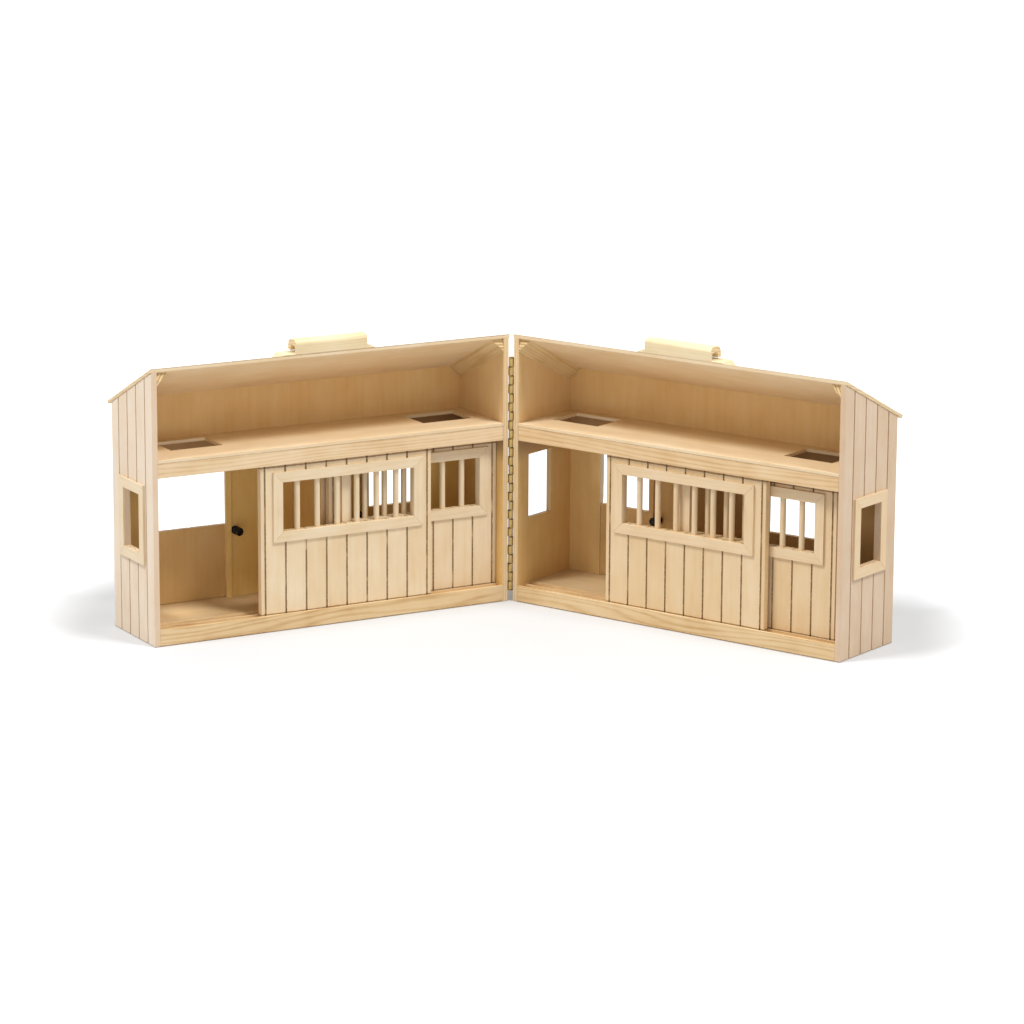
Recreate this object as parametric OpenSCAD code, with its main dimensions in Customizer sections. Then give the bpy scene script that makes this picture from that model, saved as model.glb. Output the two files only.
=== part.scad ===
// Folding toy barn: two wooden halves on a piano hinge, each with two sliding stall doors
// across the front, two split stable doors in the back wall, a hay loft and half a handle.
// Each half is drawn with its length along X from the hinge, its depth along Y and Z up.

/* [Barn halves] */
// Outside length of each half
half_l = 340; // [300:1:420]
// Outside depth of each half, without the roof overhang
half_d = 83; // [78:1:110]
// Thickness of the end walls and the back wall
wall_t = 5; // [4:0.5:7]
// Angle between each open front and the line square to the view
spread = 33; // [10:1:60]
// Gap between the two open fronts when the barn is folded shut
seam_gap = 0.8; // [0.6:0.1:2]

/* [Roof] */
// Height of the roof's top edge at the open front
ridge_h = 239; // [225:1:280]
// Slope of the roof
roof_pitch = 25.4; // [18:0.2:32]
// Thickness of the roof board
roof_t = 3; // [2.5:0.5:8]
// Overhang of the roof behind the back wall
eave_over = 7; // [3:1:15]
// Overhang of the roof past each end wall
end_over = 0.8; // [0.5:0.1:2]
// Leg of the triangular cleats between the end walls and the roof
cleat_leg = 11; // [6:1:14]

/* [Floors and rails] */
// Height of the stall floor
base_h = 14.5; // [12:0.5:20]
// Thickness of the stall floor
floor_t = 3; // [2:0.5:5]
// Height of the loft floor's upper face
loft_h = 160.5; // [150:0.5:170]
// Thickness of the loft floor
loft_t = 3; // [2:0.5:5]
// Height of the rail under the loft floor
loft_rail_h = 12.5; // [10:0.5:18]
// Depth of a door groove in the base rail
low_groove = 3; // [2:0.5:5]
// Depth of a door groove in the loft rail
high_groove = 4.5; // [3:0.5:7]
// Thickness of the wall between the two stalls
stall_wall_t = 5; // [4:0.5:8]

/* [Loft hatches] */
// Length of a hatch along the barn
hatch_l = 48; // [40:1:56]
// Depth of a hatch
hatch_w = 36; // [24:1:36]
// Distance of the inner hatch from the inner end wall
inner_hatch_in = 14; // [10:1:24]
// Distance of the outer hatch from the outer end wall
outer_hatch_in = 27; // [10:1:34]
// Distance of a hatch from the open front
hatch_front = 32; // [28:1:36]

/* [Sliding doors] */
// Width of a sliding door
door_w = 164; // [150:1:164]
// Thickness of a sliding door
door_t = 6; // [5:0.5:7]
// Distance from the open front to the front door
track_lip = 3; // [2.5:0.1:4]
// Running clearance between a door and whatever it slides past
door_gap = 0.5; // [0.4:0.05:0.7]
// Width of one board of the grooved panels
board_w = 19.5; // [15:0.5:24]
// Width of a groove between two boards
groove_w = 1.4; // [0.8:0.1:1.6]
// Depth of a groove between two boards
groove_depth = 1.3; // [0.6:0.1:1.4]
// Length of the window in a sliding door
door_win_l = 126; // [100:1:128]
// How far that window stands off the middle of its door, towards the hinge
door_win_shift = 1.5; // [0:0.5:1.5]
// Height of the window in a sliding door
door_win_h = 43; // [30:1:46]
// Height of the window's sill above the table
door_win_z = 86.5; // [80:0.5:88]
// Bars in a sliding door's window
bar_count = 6; // [3:1:8]
// Diameter of a window bar
bar_d = 5; // [3:0.1:5.2]
// How much nearer the last bars stand to the window's ends than to the next bar
bar_shift = 3.5; // [0:0.5:5]
// Width of the mitred window trim
trim_w = 9; // [7:0.5:9.5]
// Thickness of the mitred window trim
trim_t = 2; // [1.5:0.1:2.4]
// How far the left front door stands from the inner end wall
left_front_at = 70; // [10:1:90]
// How far the right front door stands from the inner end wall
right_front_at = 93; // [10:1:95]
// How far the left rear door stands from the inner end wall
left_rear_at = 0.5; // [0.5:0.5:40]
// How far the right rear door stands from the outer end wall
right_rear_from_end = 8.5; // [1:0.5:126]

/* [End windows] */
// Width of the window in an outer end wall
end_win_w = 32; // [24:1:36]
// Height of the window in an outer end wall
end_win_h = 51; // [40:1:56]
// Height of its sill above the table
end_win_z = 76.5; // [70:0.5:84]
// Width of the bare window in an inner end wall
inner_win_w = 33; // [24:1:36]
// Height of the bare window in an inner end wall
inner_win_h = 57; // [40:1:62]
// Height of its sill above the table
inner_win_z = 73; // [66:0.5:80]
// Distance of that window from the open front
inner_win_front = 16; // [14:1:24]
// Pitch of the grooves in the end walls
end_board_w = 18; // [14:0.5:20]

/* [Stable doors] */
// Width of the doorway nearer the hinge
inner_door_w = 57; // [46:1:60]
// Distance of the left half's inner doorway from the hinge end
left_inner_door_at = 44; // [34:1:46]
// Distance of the right half's inner doorway from the hinge end
right_inner_door_at = 38; // [34:1:44]
// Width of the doorway at the outer end
outer_door_w = 69; // [56:1:72]
// Distance of the left half's outer doorway from the outer end
left_outer_door_at = 36; // [36:1:60]
// Distance of the right half's outer doorway from the outer end
right_outer_door_at = 56; // [36:1:62]
// Height of the split between the lower and the upper leaf
split_z = 79.5; // [70:0.5:84]
// Height of the doorway's top
doorway_top = 138; // [126:1:146]
// Distance of a leaf's hinge pin from the edge of its doorway
pivot_in = 3.2; // [3:0.1:4]
// Clearance round a leaf, apart from its free edge
leaf_gap = 0.6; // [0.5:0.1:1]
// Clearance at a leaf's free edge, which swings through an arc
swing_gap = 1; // [1:0.1:1.5]
// Angle that the left half's inner upper leaf stands open
left_inner_open_angle = 130; // [0:1:130]
// Angle that the right half's inner upper leaf stands open
right_inner_open_angle = 175; // [0:1:175]
// Angle that the upper leaves at the outer ends stand open
outer_open_angle = 88; // [0:1:150]
// Width of the stop strip that a leaf's free edge closes against
stop_w = 5; // [4:0.5:7]
// Thickness of the stop strip
stop_t = 3; // [2:0.5:4]

/* [Stable door hinges and knobs] */
// Height of a small hinge
hinge_h = 24; // [18:1:30]
// Width of each plate of a small hinge
plate_w = 8; // [6:0.5:10]
// Thickness of a small hinge's plates
plate_t = 0.6; // [0.5:0.1:0.8]
// Clearance between a leaf's hinge strap and the back wall
strap_gap = 0.4; // [0.3:0.05:0.5]
// Diameter of a small hinge's barrel
barrel_d = 3.6; // [3.4:0.1:4.4]
// Diameter of a small hinge's pin
small_pin_d = 1.2; // [1:0.1:1.4]
// Clearance of a pin in a turning barrel, and between barrels
pin_gap = 0.3; // [0.25:0.05:0.35]
// Height of a turn knob's centre
knob_z = 73.5; // [60:0.5:76]
// Diameter of a turn knob's head
knob_d = 7.4; // [6:0.2:9]
// How far a turn knob stands out inside the stall
knob_l = 11; // [8:0.5:14]
// Length of the foot of a turn knob
knob_foot_l = 3.3; // [2:0.1:3.6]
// Length of the head of a turn knob
knob_head_l = 4.4; // [3:0.1:5]
// Diameter of the neck between the head and the foot
knob_neck_d = 4.4; // [3.4:0.1:5.6]
// Diameter of a turn knob's spindle
spindle_d = 2.6; // [2:0.1:3.4]
// Length of the blade from the spindle's centre
blade_l = 15; // [13:0.5:18]
// Width of the blade
blade_w = 6; // [5:0.5:7]
// Thickness of the blade
blade_t = 2; // [1.5:0.1:2.5]
// Distance between a turn knob and the stop strip beside it
knob_clear = 0.8; // [0.5:0.1:3]

/* [Piano hinge] */
// Height of the hinge's lower end
piano_low = 10; // [5:1:20]
// Height of the hinge's upper end
piano_high = 222; // [200:1:224]
// Width of each hinge leaf on its end wall
piano_leaf_w = 10; // [7:0.5:12]
// Thickness of a hinge leaf
piano_leaf_t = 0.8; // [0.6:0.1:1]
// Distance of each hinge leaf from the open front
piano_leaf_in = 1.6; // [1.2:0.1:3]
// Diameter of the knuckles
knuckle_d = 4.2; // [3.8:0.1:4.4]
// Length of one knuckle with its gap
knuckle_pitch = 8; // [6:0.5:12]
// Diameter of the hinge pin
piano_pin_d = 1.8; // [1.4:0.1:2]
// Clearance between a knuckle and the corners of the end walls
knuckle_gap = 0.35; // [0.3:0.05:0.5]

/* [Handle] */
// Length of the handle's base strip
handle_base_l = 100; // [92:1:130]
// Distance of the base strip's middle from the hinge end
handle_base_at = 174; // [166:1:180]
// Length of the slope at each end of the base strip
handle_base_slope = 7; // [3:0.5:8]
// Height of the base strip above the roof's front edge
handle_base_h = 0.8; // [0.8:0.1:4]
// How far the base strip reaches behind the grip
handle_base_out = 1; // [0.5:0.5:4]
// Length of the grip
grip_l = 68; // [60:1:80]
// Distance of the grip's middle from the hinge end
grip_at = 172; // [164:1:176]
// Depth of the grip
grip_d = 15.5; // [14:0.5:18]
// Height of the grip above its base strip
grip_h = 11.6; // [11:0.1:16]
// Radius of the grip's rounded front edge
grip_front_r = 4.5; // [1:0.5:5]
// Radius of the grip's rounded back edge
grip_back_r = 6.5; // [4:0.5:7]
// Thickness of the grip's front wall
grip_wall = 2.4; // [2:0.1:4]
// Width of the finger hollow behind the front wall
hollow_w = 8.4; // [7:0.1:9]
// Height of the finger hollow above the base strip
hollow_h = 6.2; // [5:0.1:7]
// Radius of the finger hollow's corners
hollow_r = 2.6; // [1:0.1:3]
// Gap under the lip behind the finger hollow
lip_gap = 1.4; // [1:0.1:2.2]

/* [Hidden] */
$fn = 48;
eps = 0.01;
right = 1;
left = -1;

slope = tan(roof_pitch);
roof_drop = roof_t / cos(roof_pitch);
inner_l = half_l - 2 * wall_t;
inner_back = half_d - wall_t;
loft_low = loft_h - loft_t;
rail_low = loft_low - loft_rail_h;

// The sliding doors run in two tracks, one behind the other.
front_track = track_lip;
rear_track = front_track + door_t + trim_t + 2 * door_gap;
rail_d = rear_track + door_t + door_gap + track_lip;
door_low = base_h - low_groove + door_gap;
door_high = rail_low + high_groove - door_gap;
door_boards = floor((door_w - 2 * groove_w) / board_w);
door_edge = (door_w - door_boards * board_w) / 2;
door_win_at = (door_w - door_win_l) / 2 - door_win_shift;
bar_pitch = (door_win_l + 2 * bar_shift) / (bar_count + 1);
right_rear_at = inner_l - door_w - right_rear_from_end;

// The hinge axis lies just in front of the fronts and just outside the end walls.
axis_y = seam_gap / 2;
axis_x = sqrt(pow(knuckle_d / 2 + knuckle_gap, 2) - pow(axis_y, 2));

// The stable door hinges stand behind the back wall.
pivot_out = barrel_d / 2 + pin_gap;
barrel_h = hinge_h / 3;
arm_t = (barrel_d - small_pin_d) / 2 - pin_gap;
strap_lap = plate_t;
lower_h = split_z - base_h;
upper_h = doorway_top - split_z;
lower_mid = (base_h + split_z) / 2;
upper_mid = (split_z + doorway_top) / 2;

// A turn knob stands this far from the edge of its doorway.
knob_off = stop_w / 2 + knob_clear + knob_d / 2;

// The piano hinge has a whole number of knuckles.
knuckles = floor((piano_high - piano_low) / knuckle_pitch);
piano_h = knuckles * knuckle_pitch;
web_t = knuckle_d / 2 - piano_pin_d / 2 - pin_gap;
web_l = axis_y + piano_leaf_in + piano_leaf_t;

// The origin is under the middle of the opened barn's outer box, which reaches back
// to the tip of an open inner leaf or to the roof's eaves.
tip_x = pivot_in + inner_door_w - swing_gap;
tip_y = wall_t + pivot_out;
y_back = max(
    back_of(half_d + eave_over, -end_over),
    back_of_tip(left_inner_door_at - pivot_in, left_inner_open_angle),
    back_of_tip(right_inner_door_at - pivot_in, right_inner_open_angle)
);
y_front = back_of(0, half_l + end_over);
origin_y = (y_back + y_front) / 2;

ply = "#E9D2AB";
pine = "#E5C68C";
brass = "#B8964F";
black = "#1C1A1A";

// How far behind the hinge axis a point of a half stands
function back_of(depth, length) = (depth + axis_y) * cos(spread) - (length + axis_x) * sin(spread);
function back_of_tip(pivot, angle) = back_of(
    half_d + pivot_out + tip_x * sin(angle) - tip_y * cos(angle),
    pivot + tip_x * cos(angle) + tip_y * sin(angle)
);

// Height of the roof's underside at a distance from the open front
function under_roof(y) = ridge_h - roof_drop - y * slope;

// Hinge pin and edges of each doorway, measured from the hinge end of its half
function inner_edge(side) = side == left ? left_inner_door_at : right_inner_door_at;
function inner_free(side) = inner_edge(side) + inner_door_w;
function inner_pivot(side) = inner_edge(side) - pivot_in;
function outer_edge(side) = half_l - (side == left ? left_outer_door_at : right_outer_door_at);
function outer_free(side) = outer_edge(side) - outer_door_w;
function outer_pivot(side) = outer_edge(side) + pivot_in;

// A half barn, drawn beside the hinge, turned to where it stands
module stand(side) {
    translate([0, -origin_y, 0])
        if (side == left)
            mirror([1, 0, 0]) rotate([0, 0, -spread]) translate([axis_x, axis_y, 0]) children();
        else
            rotate([0, 0, -spread]) translate([axis_x, axis_y, 0]) children();
}

// A profile drawn as depth and height, run along the barn
module run(from, length) {
    translate([from, 0, 0]) rotate([90, 0, 90]) linear_extrude(length) children();
}

// A rectangular window trim, laid flat, with the corner of its hole at the origin
module window_trim(l, h, w, t) {
    linear_extrude(t) difference() {
        translate([-w, -w]) square([l + 2 * w, h + 2 * w]);
        square([l, h]);
    }
}

module end_wall_blank() {
    run(0, wall_t)
        polygon([[0, 0], [half_d, 0], [half_d, under_roof(half_d)], [0, under_roof(0)]]);
}

module inner_end_wall() {
    color(ply) difference() {
        end_wall_blank();
        translate([-eps, inner_win_front, inner_win_z])
            cube([wall_t + 2 * eps, inner_win_w, inner_win_h]);
    }
}

module outer_end_wall() {
    grooves = floor((half_d - groove_w) / end_board_w);
    first = (half_d - (grooves - 1) * end_board_w) / 2;
    color(ply) translate([half_l - wall_t, 0, 0]) difference() {
        end_wall_blank();
        translate([-eps, (half_d - end_win_w) / 2, end_win_z])
            cube([wall_t + 2 * eps, end_win_w, end_win_h]);
        for (i = [0 : grooves - 1])
            translate([wall_t - groove_depth, first + i * end_board_w - groove_w / 2, -eps])
                cube([groove_depth + eps, groove_w, ridge_h]);
    }
}

module end_window_trim() {
    color(pine) translate([half_l, (half_d - end_win_w) / 2, end_win_z])
        rotate([90, 0, 90]) window_trim(end_win_w, end_win_h, trim_w, trim_t);
}

module doorway(from, width) {
    translate([from, inner_back - eps, base_h])
        cube([width, wall_t + 2 * eps, doorway_top - base_h]);
}

module stop_strip(at) {
    translate([at - stop_w / 2, inner_back - stop_t, base_h])
        cube([stop_w, stop_t + eps, rail_low - base_h]);
}

module spindle_hole(at) {
    translate([at, inner_back - eps, knob_z]) rotate([-90, 0, 0])
        cylinder(d = spindle_d + 2 * pin_gap, h = wall_t + 2 * eps);
}

module back_wall(side) {
    boards = floor(inner_l / board_w);
    first = wall_t + (inner_l - boards * board_w) / 2;
    color(ply) difference() {
        union() {
            run(wall_t, inner_l) polygon([
                [inner_back, 0], [half_d, 0],
                [half_d, under_roof(half_d)], [inner_back, under_roof(inner_back)]
            ]);
            stop_strip(inner_free(side));
            stop_strip(outer_free(side));
        }
        doorway(inner_edge(side), inner_door_w);
        doorway(outer_free(side), outer_door_w);
        spindle_hole(inner_free(side) + knob_off);
        spindle_hole(outer_free(side) - knob_off);
        for (i = [0 : boards])
            translate([first + i * board_w - groove_w / 2, half_d - groove_depth, -eps])
                cube([groove_w, groove_depth + eps, ridge_h]);
    }
}

module roof() {
    back = half_d + eave_over;
    color(ply) run(-end_over, half_l + 2 * end_over) polygon([
        [0, ridge_h], [0, ridge_h - roof_drop],
        [back - roof_t * sin(roof_pitch), under_roof(back - roof_t * sin(roof_pitch))],
        [back, ridge_h - back * slope]
    ]);
}

module cleat() {
    depth = (inner_back - track_lip) / cos(roof_pitch);
    translate([0, track_lip, under_roof(track_lip)]) rotate([-90 - roof_pitch, 0, 0])
        linear_extrude(depth) polygon([[0, 0], [cleat_leg, 0], [0, cleat_leg]]);
}

module roof_cleats() {
    color(pine) intersection() {
        union() {
            translate([wall_t, 0, 0]) cleat();
            translate([half_l - wall_t, 0, 0]) mirror([1, 0, 0]) cleat();
        }
        cube([half_l, inner_back, ridge_h]);
    }
}

module loft_floor() {
    color(ply) difference() {
        translate([wall_t, 0, loft_low]) cube([inner_l, inner_back, loft_t]);
        for (at = [wall_t + inner_hatch_in, half_l - wall_t - outer_hatch_in - hatch_l])
            translate([at, hatch_front, loft_low - eps])
                cube([hatch_l, hatch_w, loft_t + 2 * eps]);
    }
}

// Cross-section of one door groove, with its mouth at the top
module track(at, depth) {
    translate([at - door_gap, -depth]) square([door_t + 2 * door_gap, depth + eps]);
}

module loft_rail() {
    color(pine) run(wall_t, inner_l) difference() {
        translate([0, rail_low]) square([rail_d, loft_rail_h]);
        for (at = [front_track, rear_track])
            translate([0, rail_low]) mirror([0, 1]) track(at, high_groove);
    }
}

module base_rail() {
    color(pine) run(wall_t, inner_l) difference() {
        square([rail_d, base_h]);
        for (at = [front_track, rear_track])
            translate([0, base_h]) track(at, low_groove);
    }
}

module stall_floor() {
    color(ply) translate([wall_t, rail_d, base_h - floor_t])
        cube([inner_l, inner_back - rail_d, floor_t]);
}

module stall_divider() {
    color(ply) translate([(half_l - stall_wall_t) / 2, rail_d, base_h])
        cube([stall_wall_t, inner_back - rail_d, loft_low - base_h]);
}

// Cross-section of the grip: a rounded moulding with a finger hollow behind its front wall
module grip_profile() {
    difference() {
        union() {
            square([grip_d, grip_h - grip_back_r]);
            square([grip_d - grip_back_r, grip_h - grip_front_r]);
            translate([grip_front_r, 0]) square([grip_d - grip_front_r - grip_back_r, grip_h]);
            translate([grip_front_r, grip_h - grip_front_r]) circle(grip_front_r);
            translate([grip_d - grip_back_r, grip_h - grip_back_r]) circle(grip_back_r);
        }
        translate([grip_wall, -eps]) square([grip_d, lip_gap + eps]);
        translate([grip_wall, -eps]) square([hollow_w, hollow_h - hollow_r + eps]);
        translate([grip_wall + hollow_r, -eps]) square([hollow_w - 2 * hollow_r, hollow_h + eps]);
        for (y = [grip_wall + hollow_r, grip_wall + hollow_w - hollow_r])
            translate([y, hollow_h - hollow_r]) circle(hollow_r);
    }
}

module carry_handle() {
    depth = grip_d + handle_base_out;
    low = ridge_h - depth * slope;
    high = ridge_h + handle_base_h;
    from = handle_base_at - handle_base_l / 2;
    to = handle_base_at + handle_base_l / 2;
    color(pine) {
        intersection() {
            run(from, handle_base_l) polygon([[0, ridge_h], [0, high], [depth, high], [depth, low]]);
            translate([0, depth, 0]) rotate([90, 0, 0]) linear_extrude(depth) polygon([
                [from, low], [from + handle_base_slope, high], [to - handle_base_slope, high], [to, low]
            ]);
        }
        // The grip's front wall runs down through the base strip that it stands on.
        run(grip_at - grip_l / 2, grip_l) {
            translate([0, ridge_h]) square([grip_wall, handle_base_h + eps]);
            translate([0, high]) grip_profile();
        }
    }
}

// A sliding door, drawn from its own hinge-side lower corner
module sliding_door() {
    color(ply) difference() {
        cube([door_w, door_t, door_high - door_low]);
        translate([door_win_at, -eps, door_win_z - door_low])
            cube([door_win_l, door_t + 2 * eps, door_win_h]);
        for (i = [0 : door_boards])
            translate([door_edge + i * board_w - groove_w / 2, -eps, -eps])
                cube([groove_w, groove_depth + eps, door_high - door_low + 2 * eps]);
    }
}

module door_window() {
    color(pine) {
        translate([door_win_at, 0, door_win_z - door_low]) rotate([90, 0, 0])
            window_trim(door_win_l, door_win_h, trim_w, trim_t);
        for (i = [1 : bar_count])
            translate([door_win_at - bar_shift + i * bar_pitch, door_t / 2, door_win_z - door_low])
                cylinder(d = bar_d, h = door_win_h);
    }
}

module in_track(track_y, at) {
    translate([wall_t + at, track_y, door_low]) children();
}

// A stable door leaf or its plate, drawn about its hinge pin at half a leaf's height,
// with the leaf running along X, swung open by an angle and handed by flip
module swing(pivot_x, middle, angle, flip) {
    translate([pivot_x, half_d + pivot_out, middle])
        if (flip)
            mirror([1, 0, 0]) rotate([0, 0, angle]) children();
        else
            rotate([0, 0, angle]) children();
}

module leaf(width, height) {
    boards = floor((width - leaf_gap - swing_gap) / board_w);
    color(ply) difference() {
        translate([pivot_in + leaf_gap, -pivot_out - wall_t, leaf_gap / 2 - height / 2])
            cube([width - leaf_gap - swing_gap, wall_t, height - leaf_gap]);
        for (i = [1 : boards])
            translate([
                pivot_in + i * width / (boards + 1) - groove_w / 2,
                -pivot_out - groove_depth, -height / 2
            ]) cube([groove_w, groove_depth + eps, height]);
    }
}

// A barrel of a small hinge, with what joins it to its plate as children
module barrel(z, h) {
    translate([0, 0, z]) difference() {
        union() {
            cylinder(d = barrel_d, h = h);
            children();
        }
        translate([0, 0, -eps]) cylinder(d = small_pin_d + 2 * pin_gap, h = h + 2 * eps);
    }
}

// A leaf's plate, on a strap that passes clear of the wall beside the doorway
module leaf_plate() {
    from = pivot_in + leaf_gap;
    h = barrel_h - pin_gap;
    color(brass) {
        barrel(-h / 2, h)
            translate([0, strap_gap - pivot_out, 0]) cube([from + strap_lap, plate_t, h]);
        translate([from, -pivot_out, -hinge_h / 2]) cube([plate_w, plate_t, hinge_h]);
    }
}

module fixed_hinge() {
    color(brass) {
        for (z = [-hinge_h / 2, barrel_h / 2 + pin_gap / 2])
            barrel(z, barrel_h - pin_gap / 2)
                translate([-barrel_d / 2, -pivot_out, 0]) cube([arm_t, pivot_out, barrel_h - pin_gap / 2]);
        mirror([1, 0, 0]) translate([barrel_d / 2 - plate_t, -pivot_out, -hinge_h / 2])
            cube([plate_w, plate_t, hinge_h]);
        translate([0, 0, -hinge_h / 2]) cylinder(d = small_pin_d, h = hinge_h);
        for (z = [-hinge_h / 2 - plate_t, hinge_h / 2])
            translate([0, 0, z]) cylinder(d = barrel_d, h = plate_t);
    }
}

module doorway_hinges(pivot_x, flip) {
    swing(pivot_x, lower_mid, 0, flip) fixed_hinge();
    swing(pivot_x, upper_mid, 0, flip) fixed_hinge();
}

// A turn knob, drawn from the inner face of the back wall at its spindle
module turn_knob() {
    color(black) rotate([90, 0, 0]) {
        cylinder(d = knob_d, h = knob_foot_l);
        cylinder(d = knob_neck_d, h = knob_l);
        translate([0, 0, knob_l - knob_head_l]) cylinder(d = knob_d, h = knob_head_l);
    }
    color(black) rotate([-90, 0, 0]) cylinder(d = spindle_d, h = wall_t + pin_gap + blade_t);
    color(black) translate([0, wall_t + pin_gap, 0]) rotate([-90, 0, 0]) {
        cylinder(d = blade_w, h = blade_t);
        translate([-blade_w / 2, 0, 0]) cube([blade_w, blade_l - blade_w / 2, blade_t]);
        translate([0, blade_l - blade_w / 2, 0]) cylinder(d = blade_w, h = blade_t);
    }
}

module knob_beside(at) {
    translate([at, inner_back - pin_gap, knob_z]) turn_knob();
}

// One leaf of the piano hinge, with every second knuckle, starting at a given one
module piano_leaf(first) {
    color(brass) translate([0, 0, piano_low]) {
        translate([-piano_leaf_t, piano_leaf_in, 0])
            cube([piano_leaf_t, piano_leaf_w, piano_h]);
        for (i = [first : 2 : knuckles - 1])
            translate([-axis_x, -axis_y, i * knuckle_pitch + pin_gap / 2]) {
                difference() {
                    cylinder(d = knuckle_d, h = knuckle_pitch - pin_gap);
                    translate([0, 0, -eps])
                        cylinder(d = piano_pin_d + 2 * pin_gap, h = knuckle_pitch);
                }
                translate([knuckle_d / 2 - web_t, 0, 0])
                    cube([web_t, web_l, knuckle_pitch - pin_gap]);
            }
    }
}

module piano_pin() {
    color(brass) translate([0, -origin_y, piano_low]) {
        cylinder(d = piano_pin_d, h = piano_h);
        for (z = [-piano_leaf_t + pin_gap / 2, piano_h - pin_gap / 2])
            translate([0, 0, z]) cylinder(d = knuckle_d, h = piano_leaf_t);
    }
}

stand(left) inner_end_wall();  // left_inner_end_wall
stand(left) outer_end_wall();  // left_outer_end_wall
stand(left) back_wall(left);  // left_back_wall
stand(left) roof();  // left_roof
stand(left) loft_floor();  // left_loft_floor
stand(left) loft_rail();  // left_loft_rail
stand(left) base_rail();  // left_base_rail
stand(left) stall_floor();  // left_stall_floor
stand(left) stall_divider();  // left_stall_divider
stand(left) roof_cleats();  // left_roof_cleats
stand(left) end_window_trim();  // left_end_window_trim
stand(left) carry_handle();  // left_carry_handle
stand(right) inner_end_wall();  // right_inner_end_wall
stand(right) outer_end_wall();  // right_outer_end_wall
stand(right) back_wall(right);  // right_back_wall
stand(right) roof();  // right_roof
stand(right) loft_floor();  // right_loft_floor
stand(right) loft_rail();  // right_loft_rail
stand(right) base_rail();  // right_base_rail
stand(right) stall_floor();  // right_stall_floor
stand(right) stall_divider();  // right_stall_divider
stand(right) roof_cleats();  // right_roof_cleats
stand(right) end_window_trim();  // right_end_window_trim
stand(right) carry_handle();  // right_carry_handle
stand(left) piano_leaf(0);  // left_piano_hinge_leaf
stand(right) piano_leaf(1);  // right_piano_hinge_leaf
piano_pin();  // piano_hinge_pin
stand(left) in_track(front_track, left_front_at) sliding_door();  // left_front_door
stand(left) in_track(front_track, left_front_at) door_window();  // left_front_door_window
stand(left) in_track(rear_track, left_rear_at) sliding_door();  // left_rear_door
stand(left) in_track(rear_track, left_rear_at) door_window();  // left_rear_door_window
stand(right) in_track(front_track, right_front_at) sliding_door();  // right_front_door
stand(right) in_track(front_track, right_front_at) door_window();  // right_front_door_window
stand(right) in_track(rear_track, right_rear_at) sliding_door();  // right_rear_door
stand(right) in_track(rear_track, right_rear_at) door_window();  // right_rear_door_window
stand(left) swing(inner_pivot(left), upper_mid, left_inner_open_angle, false)  // left_inner_upper_leaf
        leaf(inner_door_w, upper_h);
stand(left) swing(inner_pivot(left), lower_mid, 0, false) leaf(inner_door_w, lower_h);  // left_inner_lower_leaf
stand(left) swing(outer_pivot(left), upper_mid, outer_open_angle, true) leaf(outer_door_w, upper_h);  // left_outer_upper_leaf
stand(left) swing(outer_pivot(left), lower_mid, 0, true) leaf(outer_door_w, lower_h);  // left_outer_lower_leaf
stand(right) swing(inner_pivot(right), upper_mid, right_inner_open_angle, false)  // right_inner_upper_leaf
        leaf(inner_door_w, upper_h);
stand(right) swing(inner_pivot(right), lower_mid, 0, false) leaf(inner_door_w, lower_h);  // right_inner_lower_leaf
stand(right) swing(outer_pivot(right), upper_mid, outer_open_angle, true)  // right_outer_upper_leaf
        leaf(outer_door_w, upper_h);
stand(right) swing(outer_pivot(right), lower_mid, 0, true) leaf(outer_door_w, lower_h);  // right_outer_lower_leaf
stand(left) swing(inner_pivot(left), upper_mid, left_inner_open_angle, false) leaf_plate();  // left_inner_upper_plate
stand(left) swing(inner_pivot(left), lower_mid, 0, false) leaf_plate();  // left_inner_lower_plate
stand(left) swing(outer_pivot(left), upper_mid, outer_open_angle, true) leaf_plate();  // left_outer_upper_plate
stand(left) swing(outer_pivot(left), lower_mid, 0, true) leaf_plate();  // left_outer_lower_plate
stand(right) swing(inner_pivot(right), upper_mid, right_inner_open_angle, false) leaf_plate();  // right_inner_upper_plate
stand(right) swing(inner_pivot(right), lower_mid, 0, false) leaf_plate();  // right_inner_lower_plate
stand(right) swing(outer_pivot(right), upper_mid, outer_open_angle, true) leaf_plate();  // right_outer_upper_plate
stand(right) swing(outer_pivot(right), lower_mid, 0, true) leaf_plate();  // right_outer_lower_plate
stand(left) doorway_hinges(inner_pivot(left), false);  // left_inner_doorway_hinges
stand(left) doorway_hinges(outer_pivot(left), true);  // left_outer_doorway_hinges
stand(right) doorway_hinges(inner_pivot(right), false);  // right_inner_doorway_hinges
stand(right) doorway_hinges(outer_pivot(right), true);  // right_outer_doorway_hinges
stand(left) knob_beside(inner_free(left) + knob_off);  // left_inner_turn_knob
stand(left) knob_beside(outer_free(left) - knob_off);  // left_outer_turn_knob
stand(right) knob_beside(inner_free(right) + knob_off);  // right_inner_turn_knob
stand(right) knob_beside(outer_free(right) - knob_off);  // right_outer_turn_knob
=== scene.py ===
import bpy, bmesh, math
from mathutils import Matrix, Vector


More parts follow.
